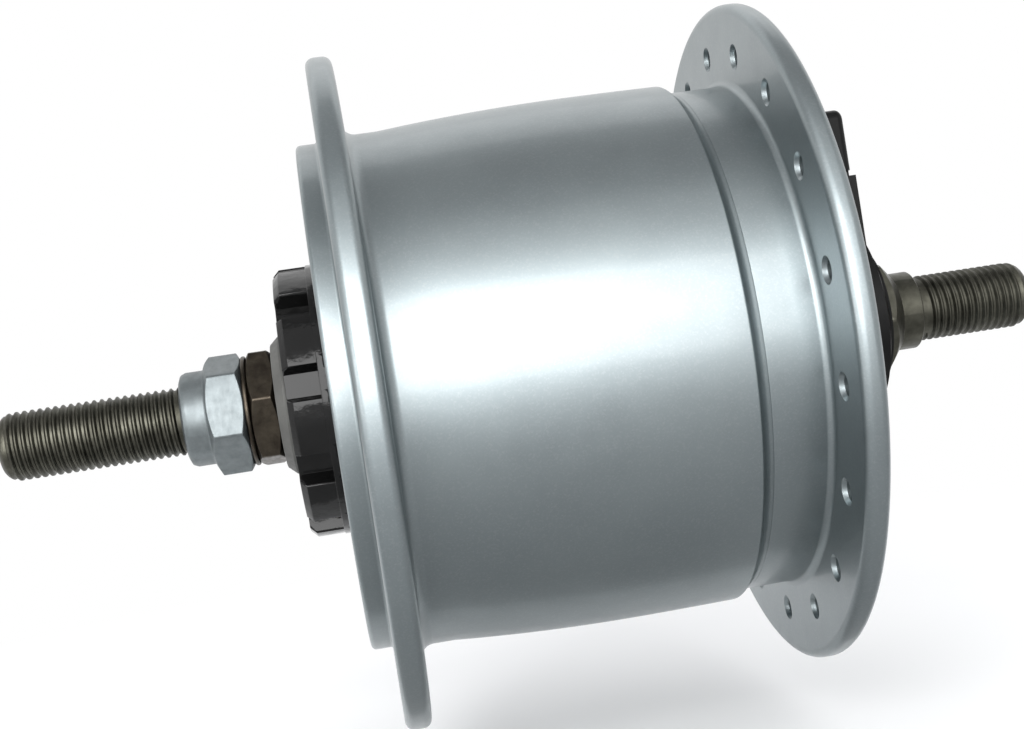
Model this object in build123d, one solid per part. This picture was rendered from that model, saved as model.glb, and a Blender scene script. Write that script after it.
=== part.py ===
import os
from math import cos, sin, radians, sqrt

from build123d import *

# Front hub dynamo with a brake spline, on a solid nutted axle.
# Millimetres. The axle lies along Y, from the brake side (-Y) to the connector side (+Y).
# The origin is the middle of the axle on its axis. +Z is up, the way the connector arm points.

# Axle, with the length that it reaches past each lock face
axle_radius = 4.5
axle_left_reach = 23.8
axle_right_reach = 16.2
axle_tip_chamfer = 1.3

# The free ends have the thread's outer radius. Under what screws on, the axle has its pitch radius,
# which starts a little outside each lock face, where the last turn of thread runs out
thread_pitch_drop = 0.325
thread_gap = 0.02
left_runout_length = 0.3
right_runout_length = 1.2

# Countersink where the thread starts in the outer face of a lock nut, wider than the axle's thread
thread_mouth = 0.42

# Groove in the top of the axle that carries the lead under the right bearing
groove_width = 1.8
groove_depth = 1.7

# Barrel
barrel_radius = 34.0
barrel_wall = 2.4
barrel_neck_length = 4.5
barrel_crown_rise = 1.05
barrel_crown_shift = 3.2
barrel_mouth_drop = 0.13
barrel_mouth_round = 1.15

# Flanges and spoke holes
flange_spacing = 54.0
flange_centre_y = 5.0
flange_rise = 10.3
left_flange_thick = 3.4
right_flange_thick = 3.0
rim_round = 1.15
flange_root_round = 1.7
spoke_circle_inset = 6.3
spoke_hole_radius = 1.3
spoke_hole_sink = 0.4
spoke_count = 18
right_spoke_phase = 1.0

# Left end of the hub shell
rim_ring_inset = 0.5
rim_ring_height = 2.8
rim_ring_round = 0.6
rim_ring_lip = 2.6
ring_root_round = 0.4
end_dish_depth = 1.2
end_wall_thick = 4.0

# End flange: the part that closes the barrel and carries the right flange
end_sleeve_inset = 0.2
end_sleeve_length = 7.3
end_spigot_length = 6.7
end_spigot_wall = 1.8
end_sleeve_round = 0.9
end_web_thick = 3.1
end_web_rise = 3.7
end_web_edge = 2.3

# Ball bearings
ball_radius = 2.38
ball_count = 9
race_gap = 0.08
cone_wall = 1.64
cup_wall = 1.44
cup_floor = 1.2
cup_lip = 0.38
cup_floor_width = 0.7
cup_seat_lip = 2.4
cup_seat_clear = 0.9
cup_boss_wall = 1.9
dust_cap_thick = 0.6
dust_cap_clear = 0.6
right_bearing_reach = 4.0
cone_nose_length = 3.2
cone_shoulder = 0.65
cone_neck_wall = 2.7
cage_inner_gap = 0.35
cage_outer_inset = 0.2
cage_near_offset = 0.5
cage_far_offset = 2.05
cage_pocket_gap = 0.12
seal_thick = 1.5
seal_gap = 0.3
seal_rim_width = 2.0
seal_edge_width = 1.0
seal_lip = 0.4

# Nuts and washers on the axle
nut_across_flats = 14.0
left_cone_hex_length = 3.5
left_washer_thick = 0.6
left_washer_rim = 0.3
left_nut_hex_length = 4.9
left_collar_length = 3.4
left_collar_wall = 1.75
right_spacer_thick = 2.4
right_spacer_rim = 1.0
cone_lock_nut_length = 3.0
right_nut_hex_length = 3.26
right_nut_slope_length = 2.2
right_collar_length = 2.9
right_collar_wall = 0.85
nut_corner_cut = 0.7
nut_edge_chamfer = 0.5

# Turn of each hexagon about the axle, from +Z towards +X, in degrees
left_nut_turn = 50.0
left_cone_turn = 80.0
right_nut_turn = 38.0

# Brake spline ring
spline_wall = 1.5
spline_lug_height = 1.95
spline_base_ledge = 0.15
spline_base_thick = 1.2
spline_lugs = 10
spline_valley_phase = 10.0
spline_land_share = 0.56
spline_root_share = 0.3
spline_chamfer = 0.8

# Magnets and their yoke, each longer at both ends than what it goes round
yoke_wall = 1.95
yoke_overhang = 1.0
magnet_wall = 2.9
magnet_overhang = 0.5
magnet_count = 4
magnet_slit = 1.2
press_gap = 0.05
air_gap = 0.4

# Stator
stator_end_gap = 2.0
claw_count = 14
claw_thick = 1.8
claw_root_width = 4.3
claw_tip_width = 2.7
claw_tip_gap = 1.6
claw_plate_thick = 2.0
claw_lobe_length = 4.75
core_wall = 3.5
bobbin_tube_wall = 1.2
bobbin_flange_thick = 1.2
bobbin_gap = 0.15
coil_inset = 1.4
stator_washer_thick = 1.5
stator_washer_rim = 3.2
stator_nut_length = 4.0

# Connector cap
cap_gap = 0.4
cap_recess_gap = 0.5
cap_collar_wall = 1.0
cap_foot_ledge = 3.4
cap_body_thick = 6.0
cap_cone_ledge = 0.5
cap_collar_edge = 0.3
cap_front_wall = 1.0
cap_bore_gap = 0.25
arm_half_width = 9.0
arm_top_height = 18.8
block_step = 1.2
block_height = 9.2
block_round = 1.5
block_edge_round = 0.9
block_groove_width = 0.9
block_groove_depth = 0.8
socket_side_wall = 2.0
socket_depth = 7.4
socket_wall = 1.3
socket_floor_thick = 3.4
chamber_half_width = 4.6

# Terminals and lead
terminal_thick = 0.8
terminal_side_gap = 0.4
terminal_offset = 3.3
terminal_top_inset = 1.8
terminal_foot_drop = 2.6
terminal_slot_gap = 0.05
lead_radius = 0.6
lead_washer_gap = 0.8
lead_groove_gap = 0.2
lead_hole_gap = 0.4
lead_rise_length = 6.4
lead_bend_radius = 2.4
lead_turn_radius = 1.5

# One overrun for every cut
overrun = 1.0

# Radii, outwards from the axle
thread_radius = axle_radius - thread_pitch_drop
axle_bore_radius = thread_radius + thread_gap
race_radius = ball_radius + race_gap
cone_neck_radius = axle_radius + cone_neck_wall
seal_rim_radius = cone_neck_radius + seal_rim_width
seal_edge_radius = cone_neck_radius + seal_edge_width
ball_circle_radius = axle_radius + cone_wall + race_radius
cup_radius = ball_circle_radius + race_radius + cup_wall
cup_hole_radius = ball_circle_radius - cup_floor_width
cup_seat_hole_radius = ball_circle_radius + cup_seat_clear
cup_boss_radius = cup_radius + cup_boss_wall
dust_cap_bore_radius = ball_circle_radius + dust_cap_clear
cage_outer_radius = ball_circle_radius - cage_outer_inset
spline_root_radius = cup_boss_radius + spline_wall
spline_radius = spline_root_radius + spline_lug_height
spline_base_radius = spline_radius + spline_base_ledge
left_washer_radius = nut_across_flats / 2 + left_washer_rim
left_collar_radius = axle_radius + left_collar_wall
right_spacer_radius = nut_across_flats / 2 + right_spacer_rim
right_collar_radius = axle_radius + right_collar_wall
cap_recess_radius = nut_across_flats / sqrt(3) + cap_recess_gap
cap_collar_radius = cap_recess_radius + cap_collar_wall
cap_foot_radius = cap_collar_radius + cap_foot_ledge

# Radii of the barrel and flanges, and of what is pressed into the barrel
flange_radius = barrel_radius + flange_rise
spoke_circle_radius = flange_radius - spoke_circle_inset
barrel_crown_radius = barrel_radius + barrel_crown_rise
barrel_mouth_radius = barrel_crown_radius - barrel_mouth_drop
barrel_bore_radius = barrel_radius - barrel_wall
rim_ring_radius = barrel_radius - rim_ring_inset
end_sleeve_radius = barrel_radius - end_sleeve_inset
yoke_radius = barrel_bore_radius - press_gap
magnet_radius = yoke_radius - yoke_wall - press_gap
stator_radius = magnet_radius - magnet_wall - air_gap
claw_star_radius = stator_radius - claw_lobe_length
core_radius = axle_radius + core_wall
stator_washer_radius = nut_across_flats / 2 + stator_washer_rim

# Places along the axle, outwards from each flange
cup_length = cup_floor + 2 * race_radius + cup_lip
left_flange_y = flange_centre_y - flange_spacing / 2
left_flange_outer_y = left_flange_y - left_flange_thick / 2
left_flange_inner_y = left_flange_y + left_flange_thick / 2
left_end_y = left_flange_outer_y - rim_ring_height
left_wall_inner_y = left_end_y + end_wall_thick
left_cup_seat_y = left_wall_inner_y - cup_seat_lip
left_ball_y = left_cup_seat_y - cup_floor - race_radius
left_cup_mouth_y = left_cup_seat_y - cup_length
spline_face_y = left_cup_mouth_y - dust_cap_thick
left_seal_y = spline_face_y - seal_gap
left_cone_hex_y = left_seal_y - seal_thick
left_washer_y = left_cone_hex_y - left_cone_hex_length
left_nut_y = left_washer_y - left_washer_thick
left_collar_y = left_nut_y - left_nut_hex_length
left_face_y = left_collar_y - left_collar_length

right_flange_y = flange_centre_y + flange_spacing / 2
right_flange_inner_y = right_flange_y - right_flange_thick / 2
right_flange_outer_y = right_flange_y + right_flange_thick / 2
barrel_mouth_y = right_flange_inner_y - end_sleeve_length
spigot_end_y = barrel_mouth_y - end_spigot_length
right_ball_y = right_flange_y + right_bearing_reach
right_cup_seat_y = right_ball_y - race_radius - cup_floor
right_cup_mouth_y = right_cup_seat_y + cup_length
right_boss_y = right_cup_mouth_y + dust_cap_thick
right_seal_y = right_boss_y + seal_gap
right_cone_end_y = right_seal_y + seal_thick
cone_lock_nut_y = right_cone_end_y + right_spacer_thick
cap_wall_y = cone_lock_nut_y + cone_lock_nut_length
right_nut_y = cap_wall_y + cap_front_wall
right_collar_y = right_nut_y + right_nut_hex_length
right_face_y = right_collar_y + right_collar_length
cap_back_y = right_boss_y + cap_gap
cap_face_y = cap_back_y + cap_body_thick

# The stator, with a washer and a nut at each end, fills the room in the barrel
stator_centre_y = (left_wall_inner_y + spigot_end_y) / 2
stator_left_y = left_wall_inner_y + stator_end_gap + stator_nut_length + stator_washer_thick
stator_right_y = spigot_end_y - stator_end_gap - stator_nut_length - stator_washer_thick
stator_length = stator_right_y - stator_left_y
stator_nut_end_y = stator_right_y + stator_washer_thick + stator_nut_length
magnet_length = stator_length + 2 * magnet_overhang
yoke_length = magnet_length + 2 * yoke_overhang

# The socket is in the top of the block, with a closed chamber for the wiring below it
block_half_width = arm_half_width - block_step
block_top_height = arm_top_height + block_height
socket_width = 2 * (block_half_width - socket_side_wall)
socket_floor_height = block_top_height - socket_depth
chamber_top_height = socket_floor_height - socket_floor_thick
socket_front_y = cap_back_y + socket_wall
socket_back_y = cap_face_y - socket_wall
terminal_front_y = socket_front_y + terminal_side_gap
terminal_back_y = socket_back_y - terminal_side_gap
terminal_top_height = block_top_height - terminal_top_inset
terminal_foot_height = chamber_top_height - terminal_foot_drop

# The lead leaves the groove in the middle of the slotted spacer
groove_floor_height = axle_radius - groove_depth
lead_groove_height = groove_floor_height + lead_radius + lead_groove_gap
lead_start_height = stator_washer_radius + lead_radius + lead_washer_gap
lead_exit_y = right_cone_end_y + right_spacer_thick / 2
groove_start_y = stator_nut_end_y + lead_rise_length / 2


def across(y):
    """Plane square to the axle at y; its angles run from +Z towards +X."""
    return Plane(origin=(0, y, 0), x_dir=(0, 0, 1), z_dir=(0, 1, 0))


def turned(points):
    """Solid of revolution about the axle from (radius, y) points."""
    return revolve(make_face(Polyline(*points, close=True)), axis=Axis.Y)


def rounded(face, corners):
    """Round the corners of a (radius, y) face, each given as radius, y, size."""
    for radius, y, size in corners:
        corner = face.vertices().sort_by_distance((radius, y, 0))[0]
        face = fillet(corner, size)
    return face


def tube(outer, inner, start_y, end_y):
    """Plain ring about the axle."""
    return turned([(inner, start_y), (outer, start_y), (outer, end_y), (inner, end_y)])


def around(shape, count, phase=0):
    """Copies of a shape turned evenly about the axle."""
    return [Rot(0, phase + 360 * index / count, 0) * shape for index in range(count)]


def hexagon(across_flats, start_y, length, turn):
    """Hexagonal bar about the axle with one corner at the given turn."""
    corner = across_flats / sqrt(3)
    corners = [
        (corner * cos(radians(turn + 60 * index)), corner * sin(radians(turn + 60 * index)))
        for index in range(6)
    ]
    return extrude(across(start_y) * make_face(Polyline(*corners, close=True)), length)


def corner_cone(across_flats, start_y, length, edge):
    """Turned blank that takes the sharp corners off a hexagon at both ends."""
    corner = across_flats / sqrt(3)
    end_y = start_y + length
    return turned([
        (0, start_y),
        (corner - nut_corner_cut, start_y),
        (corner, start_y + edge),
        (corner, end_y - edge),
        (corner - nut_corner_cut, end_y),
        (0, end_y),
    ])


def chamfered_hexagon(across_flats, start_y, length, turn):
    """Hexagonal nut body, corners chamfered at both faces."""
    bar = hexagon(across_flats, start_y, length, turn)
    return bar & corner_cone(across_flats, start_y, length, nut_edge_chamfer)


def axle_bore(start_y, end_y):
    """Cutter for anything that screws or slides on the axle."""
    return tube(axle_bore_radius, 0, start_y - overrun, end_y + overrun)


def countersink(face_y, inward):
    """Cutter for the start of a thread in a nut's outer face."""
    return turned([
        (0, face_y),
        (axle_bore_radius + thread_mouth, face_y),
        (axle_bore_radius, face_y + inward * thread_mouth),
        (0, face_y + inward * thread_mouth),
    ])


# Axle


def make_axle():
    start_y = left_face_y - axle_left_reach
    end_y = right_face_y + axle_right_reach
    tip_radius = axle_radius - axle_tip_chamfer
    left_runout_y = left_face_y - left_runout_length
    right_runout_y = right_face_y + right_runout_length
    bar = turned([
        (0, start_y),
        (tip_radius, start_y),
        (axle_radius, start_y + axle_tip_chamfer),
        (axle_radius, left_runout_y),
        (thread_radius, left_runout_y),
        (thread_radius, right_runout_y),
        (axle_radius, right_runout_y),
        (axle_radius, end_y - axle_tip_chamfer),
        (tip_radius, end_y),
        (0, end_y),
    ])
    groove = upright_box(
        groove_width,
        groove_start_y,
        cone_lock_nut_y,
        groove_floor_height,
        axle_radius + overrun,
    )
    return bar - groove


# Hub shell


def spoke_hole_cutter(flange_y, thick):
    """Spoke hole sunk at both faces, on the spoke circle at +Z."""
    half = thick / 2
    sunk = spoke_hole_radius + spoke_hole_sink
    reach = half + overrun
    cutter = turned([
        (0, flange_y - reach),
        (sunk, flange_y - reach),
        (sunk, flange_y - half),
        (spoke_hole_radius, flange_y - half + spoke_hole_sink),
        (spoke_hole_radius, flange_y + half - spoke_hole_sink),
        (sunk, flange_y + half),
        (sunk, flange_y + reach),
        (0, flange_y + reach),
    ])
    return Pos(0, 0, spoke_circle_radius) * cutter


def barrel_outline():
    """Outer line of the barrel: a short neck, then a crown that falls off to both sides."""
    neck_y = left_flange_inner_y + barrel_neck_length
    neck = (barrel_radius, neck_y)
    crown = (barrel_crown_radius, flange_centre_y + barrel_crown_shift)
    mouth = (barrel_mouth_radius, barrel_mouth_y)
    rise = TangentArc(crown, neck, tangent=(0, -1))
    fall = TangentArc(crown, mouth, tangent=(0, 1))
    return neck, mouth, rise + fall


def make_hub_shell():
    neck, mouth, crown_line = barrel_outline()
    dish_y = left_end_y + end_dish_depth
    lip_radius = rim_ring_radius - rim_ring_lip
    dish_inner_radius = spline_root_radius + rim_ring_lip
    inside = Polyline(
        mouth,
        (barrel_bore_radius, barrel_mouth_y),
        (barrel_bore_radius, left_wall_inner_y),
        (cup_seat_hole_radius, left_wall_inner_y),
        (cup_seat_hole_radius, left_cup_seat_y),
        (cup_radius + press_gap, left_cup_seat_y),
        (cup_radius + press_gap, spline_face_y),
        (cup_boss_radius, spline_face_y),
        (cup_boss_radius, left_end_y),
        (dish_inner_radius, left_end_y),
        (dish_inner_radius + end_dish_depth, dish_y),
        (lip_radius - end_dish_depth, dish_y),
        (lip_radius, left_end_y),
        (rim_ring_radius, left_end_y),
        (rim_ring_radius, left_flange_outer_y),
        (flange_radius, left_flange_outer_y),
        (flange_radius, left_flange_inner_y),
        (barrel_radius, left_flange_inner_y),
        neck,
    )
    section = make_face(inside + crown_line)
    section = rounded(section, [
        (rim_ring_radius, left_end_y, rim_ring_round),
        (rim_ring_radius, left_flange_outer_y, ring_root_round),
        (flange_radius, left_flange_outer_y, rim_round),
        (flange_radius, left_flange_inner_y, rim_round),
        (barrel_radius, left_flange_inner_y, flange_root_round),
        (barrel_mouth_radius, barrel_mouth_y, barrel_mouth_round),
    ])
    shell = revolve(section, axis=Axis.Y)
    holes = around(
        spoke_hole_cutter(left_flange_y, left_flange_thick),
        spoke_count,
        right_spoke_phase + 180 / spoke_count,
    )
    return shell - holes


def make_end_flange():
    spigot_radius = barrel_bore_radius - press_gap
    spigot_bore = spigot_radius - end_spigot_wall
    web_outer_radius = end_sleeve_radius - end_web_edge
    boss_inner_y = right_cup_seat_y - cup_seat_lip
    web_top_y = right_flange_outer_y + end_web_rise
    section = make_face(Polyline(
        (spigot_bore, spigot_end_y),
        (spigot_radius, spigot_end_y),
        (spigot_radius, barrel_mouth_y),
        (end_sleeve_radius, barrel_mouth_y),
        (end_sleeve_radius, right_flange_inner_y),
        (flange_radius, right_flange_inner_y),
        (flange_radius, right_flange_outer_y),
        (web_outer_radius, right_flange_outer_y),
        (cup_boss_radius, web_top_y),
        (cup_boss_radius, right_boss_y),
        (cup_radius + press_gap, right_boss_y),
        (cup_radius + press_gap, right_cup_seat_y),
        (cup_seat_hole_radius, right_cup_seat_y),
        (cup_seat_hole_radius, boss_inner_y),
        (cup_boss_radius, boss_inner_y),
        (cup_boss_radius, web_top_y - end_web_thick),
        (spigot_bore, right_flange_outer_y - end_web_thick),
        close=True,
    ))
    section = rounded(section, [
        (end_sleeve_radius, right_flange_inner_y, end_sleeve_round),
        (flange_radius, right_flange_inner_y, rim_round),
        (flange_radius, right_flange_outer_y, rim_round),
    ])
    flange = revolve(section, axis=Axis.Y)
    holes = around(
        spoke_hole_cutter(right_flange_y, right_flange_thick), spoke_count, right_spoke_phase
    )
    return flange - holes


# Brake spline ring


def make_brake_spline():
    """Ring with sloped lugs that a roller brake slides over, on a plain round base."""
    base_y = left_end_y - spline_base_thick
    bore = cup_boss_radius + press_gap
    ring = turned([
        (bore, spline_face_y),
        (spline_radius - spline_chamfer, spline_face_y),
        (spline_radius, spline_face_y + spline_chamfer),
        (spline_radius, base_y),
        (bore, base_y),
    ])
    base = tube(spline_base_radius, bore, base_y, left_end_y)
    half_pitch = radians(180 / spline_lugs)
    gap_half_top = half_pitch * (1 - spline_land_share)
    gap_half_root = half_pitch * spline_root_share
    reach = spline_radius + overrun
    top_x = reach * sin(gap_half_top)
    root_x = spline_root_radius * sin(gap_half_root)
    valley_floor = spline_root_radius * cos(gap_half_root)
    valley = make_face(Polyline(
        (root_x, valley_floor),
        (top_x, reach),
        (-top_x, reach),
        (-root_x, valley_floor),
        close=True,
    ))
    upright = Plane(origin=(0, base_y, 0), x_dir=(1, 0, 0), z_dir=(0, -1, 0))
    cutter = extrude(upright * valley, base_y - spline_face_y + overrun)
    return (ring - around(cutter, spline_lugs, spline_valley_phase)) + base


# Ball bearings, the same on both sides; outward is -1 on the left and +1 on the right


def race_arc(ball_y, outward, from_angle, to_angle, gap):
    """Arc about a ball centre; angle 0 points off the axle and 90 points outwards."""
    radius = ball_radius + gap
    points = []
    for share in (0, 0.5, 1):
        angle = radians(from_angle + (to_angle - from_angle) * share)
        points.append((
            ball_circle_radius + radius * cos(angle),
            ball_y + outward * radius * sin(angle),
        ))
    return points, ThreePointArc(*points)


def make_cup(ball_y, seat_y, outward):
    mouth_y = seat_y + outward * cup_length
    ends, race = race_arc(ball_y, outward, 0, -90, race_gap)
    side = Polyline(
        ends[2],
        (cup_hole_radius, ends[2][1]),
        (cup_hole_radius, seat_y),
        (cup_radius, seat_y),
        (cup_radius, mouth_y),
        (ends[0][0], mouth_y),
        ends[0],
    )
    return revolve(make_face(side + race), axis=Axis.Y)


def make_dust_cap(mouth_y, outward):
    return tube(cup_radius, dust_cap_bore_radius, mouth_y, mouth_y + outward * dust_cap_thick)


def cone_body(ball_y, outward, neck_end_y):
    """Turned part of a cone: nose, ball race, shoulder and the neck that carries the seal."""
    ends, race = race_arc(ball_y, outward, 180, 90, race_gap)
    shoulder_y = ends[2][1] + outward * cone_shoulder
    nose_y = ball_y - outward * cone_nose_length
    side = Polyline(
        ends[2],
        (ends[2][0], shoulder_y),
        (cone_neck_radius, shoulder_y),
        (cone_neck_radius, neck_end_y),
        (axle_bore_radius, neck_end_y),
        (axle_bore_radius, nose_y),
        (ends[0][0], nose_y),
        ends[0],
    )
    return revolve(make_face(side + race), axis=Axis.Y)


def make_left_cone():
    turned_part = cone_body(left_ball_y, -1, left_cone_hex_y)
    grip = chamfered_hexagon(
        nut_across_flats, left_washer_y, left_cone_hex_length, left_cone_turn
    )
    return turned_part + (grip - axle_bore(left_washer_y, left_cone_hex_y))


def make_right_cone():
    return cone_body(right_ball_y, 1, right_cone_end_y)


def make_seal(inner_y, outward):
    """Seal on the neck of a cone, tapering outwards."""
    outer_y = inner_y + outward * seal_thick
    bore = cone_neck_radius + press_gap
    return turned([
        (bore, inner_y),
        (seal_rim_radius, inner_y),
        (seal_rim_radius, inner_y + outward * seal_lip),
        (seal_edge_radius, outer_y),
        (bore, outer_y),
    ])


def ball_places(ball_y):
    return [
        Rot(0, 360 * index / ball_count, 0) * Pos(0, ball_y, ball_circle_radius)
        for index in range(ball_count)
    ]


def make_balls(ball_y):
    return Compound(children=[place * Sphere(ball_radius) for place in ball_places(ball_y)])


def make_cage(ball_y, outward):
    """Crown ring behind the balls, with a pocket for each."""
    inner = ball_circle_radius - race_radius + cage_inner_gap
    near_y = ball_y - outward * cage_near_offset
    far_y = ball_y - outward * cage_far_offset
    ring = tube(cage_outer_radius, inner, near_y, far_y)
    pockets = [place * Sphere(ball_radius + cage_pocket_gap) for place in ball_places(ball_y)]
    return ring - pockets


# Nuts, washers and spacer


def make_left_lock_nut():
    """Hexagon nut with a narrower collar that bears on the fork end."""
    body = chamfered_hexagon(
        nut_across_flats, left_collar_y, left_nut_hex_length, left_nut_turn
    )
    collar = turned([
        (0, left_face_y),
        (left_collar_radius - nut_edge_chamfer, left_face_y),
        (left_collar_radius, left_face_y + nut_edge_chamfer),
        (left_collar_radius, left_collar_y),
        (0, left_collar_y),
    ])
    return body + collar - axle_bore(left_face_y, left_nut_y) - countersink(left_face_y, 1)


def make_left_washer():
    return tube(left_washer_radius, axle_bore_radius, left_nut_y, left_washer_y)


def make_right_spacer():
    """Spacer with a notch at the top for the lead."""
    ring = tube(right_spacer_radius, axle_bore_radius, right_cone_end_y, cone_lock_nut_y)
    notch = Pos(0, lead_exit_y, axle_radius / 2) * Box(
        groove_width,
        right_spacer_thick + overrun,
        right_spacer_radius,
        align=(Align.CENTER, Align.CENTER, Align.MIN),
    )
    return ring - notch


def make_cone_lock_nut():
    nut = chamfered_hexagon(
        nut_across_flats, cone_lock_nut_y, cone_lock_nut_length, left_cone_turn
    )
    return nut - axle_bore(cone_lock_nut_y, cap_wall_y)


def make_right_lock_nut():
    """Hexagon nut that slopes down to a narrow collar, which bears on the fork end."""
    corner = nut_across_flats / sqrt(3)
    bar = hexagon(nut_across_flats, right_nut_y, right_nut_hex_length, right_nut_turn)
    blank = turned([
        (0, right_nut_y),
        (corner - nut_corner_cut, right_nut_y),
        (corner, right_nut_y + nut_edge_chamfer),
        (corner, right_collar_y - right_nut_slope_length),
        (right_collar_radius, right_collar_y),
        (0, right_collar_y),
    ])
    collar = tube(right_collar_radius, 0, right_collar_y - overrun, right_face_y)
    nut = (bar & blank) + collar - axle_bore(right_nut_y, right_face_y)
    return nut - countersink(right_face_y, -1)


# Magnets


def make_yoke():
    half = yoke_length / 2
    return tube(
        yoke_radius, yoke_radius - yoke_wall, stator_centre_y - half, stator_centre_y + half
    )


def make_magnets():
    """Ferrite arcs, parted by narrow slits."""
    half = magnet_length / 2
    inner = magnet_radius - magnet_wall
    ring = tube(magnet_radius, inner, stator_centre_y - half, stator_centre_y + half)
    slit = Pos(0, stator_centre_y, inner - overrun) * Box(
        magnet_slit,
        magnet_length + overrun,
        magnet_wall + 2 * overrun,
        align=(Align.CENTER, Align.CENTER, Align.MIN),
    )
    return ring - around(slit, magnet_count, 180 / magnet_count)


# Stator


def claw(root_y, inward):
    """One claw at +Z: a lobe of the plate and a tapering finger bent along the axle."""
    plate_end_y = root_y + inward * claw_plate_thick
    tip_y = root_y + inward * (stator_length - claw_plate_thick - claw_tip_gap)
    root = claw_root_width / 2
    tip = claw_tip_width / 2
    reach = stator_radius + overrun
    lobe = extrude(
        make_face(Polyline(
            (-root, root_y), (root, root_y), (root, plate_end_y), (-root, plate_end_y),
            close=True,
        )),
        reach,
    )
    finger = extrude(
        make_face(Polyline(
            (-root, root_y), (root, root_y), (tip, tip_y), (-tip, tip_y), close=True
        )),
        reach,
    )
    plate_room = tube(stator_radius, claw_star_radius - overrun, root_y, plate_end_y)
    finger_room = tube(stator_radius, stator_radius - claw_thick, root_y, tip_y)
    return (lobe & plate_room) + (finger & finger_room)


def make_claw_plate(root_y, inward, phase):
    """Steel plate whose claws lie between those of its twin."""
    plate_end_y = root_y + inward * claw_plate_thick
    plate = tube(claw_star_radius, core_radius + press_gap, root_y, plate_end_y)
    return plate + around(claw(root_y, inward), claw_count, phase)


def make_right_claw_plate():
    plate = make_claw_plate(stator_right_y, -1, 180 / claw_count)
    middle_y = stator_right_y - claw_plate_thick / 2
    hole = Pos(0, middle_y, lead_start_height) * Rot(90, 0, 0) * Cylinder(
        lead_radius + lead_hole_gap, claw_plate_thick + overrun
    )
    return plate - hole


def make_stator_core():
    return tube(core_radius, axle_bore_radius, stator_left_y, stator_right_y)


def bobbin_ends():
    """Outer faces of the bobbin, just inside the two claw plates."""
    inset = claw_plate_thick + bobbin_gap
    return stator_left_y + inset, stator_right_y - inset


def make_bobbin():
    start_y, end_y = bobbin_ends()
    rim = stator_radius - claw_thick - bobbin_gap
    bore = core_radius + press_gap
    wall = bore + bobbin_tube_wall
    return turned([
        (bore, start_y),
        (rim, start_y),
        (rim, start_y + bobbin_flange_thick),
        (wall, start_y + bobbin_flange_thick),
        (wall, end_y - bobbin_flange_thick),
        (rim, end_y - bobbin_flange_thick),
        (rim, end_y),
        (bore, end_y),
    ])


def make_coil():
    start_y, end_y = bobbin_ends()
    rim = stator_radius - claw_thick - bobbin_gap
    wall = core_radius + press_gap + bobbin_tube_wall
    return tube(
        rim - coil_inset,
        wall + press_gap,
        start_y + bobbin_flange_thick + press_gap,
        end_y - bobbin_flange_thick - press_gap,
    )


def make_stator_washers():
    starts = (stator_left_y - stator_washer_thick, stator_right_y)
    washers = [
        tube(stator_washer_radius, axle_bore_radius, start_y, start_y + stator_washer_thick)
        for start_y in starts
    ]
    return Compound(children=washers)


def make_stator_nuts():
    starts = (
        stator_left_y - stator_washer_thick - stator_nut_length,
        stator_right_y + stator_washer_thick,
    )
    nuts = [
        chamfered_hexagon(nut_across_flats, start_y, stator_nut_length, left_cone_turn)
        - axle_bore(start_y, start_y + stator_nut_length)
        for start_y in starts
    ]
    return Compound(children=nuts)


# Connector cap, terminals and lead


def upright_box(width, start_y, end_y, low, high, x=0):
    """Box between two places on the axle and two heights."""
    return Pos(x, start_y, low) * Box(
        width, end_y - start_y, high - low, align=(Align.CENTER, Align.MIN, Align.MIN)
    )


def cap_body():
    """Round foot, arm and terminal block, before anything is cut from them."""
    foot = tube(cap_foot_radius, 0, cap_back_y, cap_face_y)
    arm = upright_box(2 * arm_half_width, cap_back_y, cap_face_y, 0, arm_top_height)
    block = upright_box(
        2 * block_half_width, cap_back_y, cap_face_y, arm_top_height - overrun, block_top_height
    )
    upright_edges = block.edges().filter_by(Axis.Y).sort_by(Axis.Z)[-2:]
    block = fillet(upright_edges, block_round)
    top_edges = block.faces().sort_by(Axis.Y)[-1].edges().sort_by(Axis.Z)[-1:]
    block = fillet(top_edges, block_edge_round)
    return foot + arm + block


def cap_collar():
    """Cone in front of the foot that rises to the lock nut."""
    return turned([
        (0, cap_face_y - overrun),
        (cap_foot_radius - cap_cone_ledge, cap_face_y - overrun),
        (cap_foot_radius - cap_cone_ledge, cap_face_y),
        (cap_collar_radius, right_nut_y - cap_collar_edge),
        (cap_collar_radius, right_nut_y),
        (0, right_nut_y),
    ])


def make_connector_cap():
    """Plastic cap over the cone nut, with an arm that ends in the plug socket."""
    cap = cap_body() + cap_collar()
    cap -= tube(seal_rim_radius + cap_gap, 0, cap_back_y - overrun, right_cone_end_y)
    cap -= tube(cap_recess_radius, 0, cap_back_y - overrun, cap_wall_y)
    cap -= tube(axle_radius + cap_bore_gap, 0, cap_back_y - overrun, right_nut_y + overrun)
    cap -= upright_box(
        socket_width, socket_front_y, socket_back_y, socket_floor_height,
        block_top_height + overrun,
    )
    cap -= upright_box(
        2 * chamber_half_width, socket_front_y, socket_back_y, 0, chamber_top_height
    )
    for side in (-1, 1):
        cap -= upright_box(
            terminal_thick + 2 * terminal_slot_gap,
            terminal_front_y - terminal_slot_gap,
            terminal_back_y + terminal_slot_gap,
            chamber_top_height - overrun,
            socket_floor_height + overrun,
            x=side * terminal_offset,
        )
    cap -= upright_box(
        2 * cap_foot_radius,
        cap_face_y - block_groove_depth,
        cap_face_y + overrun,
        arm_top_height,
        arm_top_height + block_groove_width,
    )
    return cap


def terminal_blade(side):
    """Upright blade on one side of the socket."""
    return upright_box(
        terminal_thick, terminal_front_y, terminal_back_y, terminal_foot_height,
        terminal_top_height, x=side * terminal_offset,
    )


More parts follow.
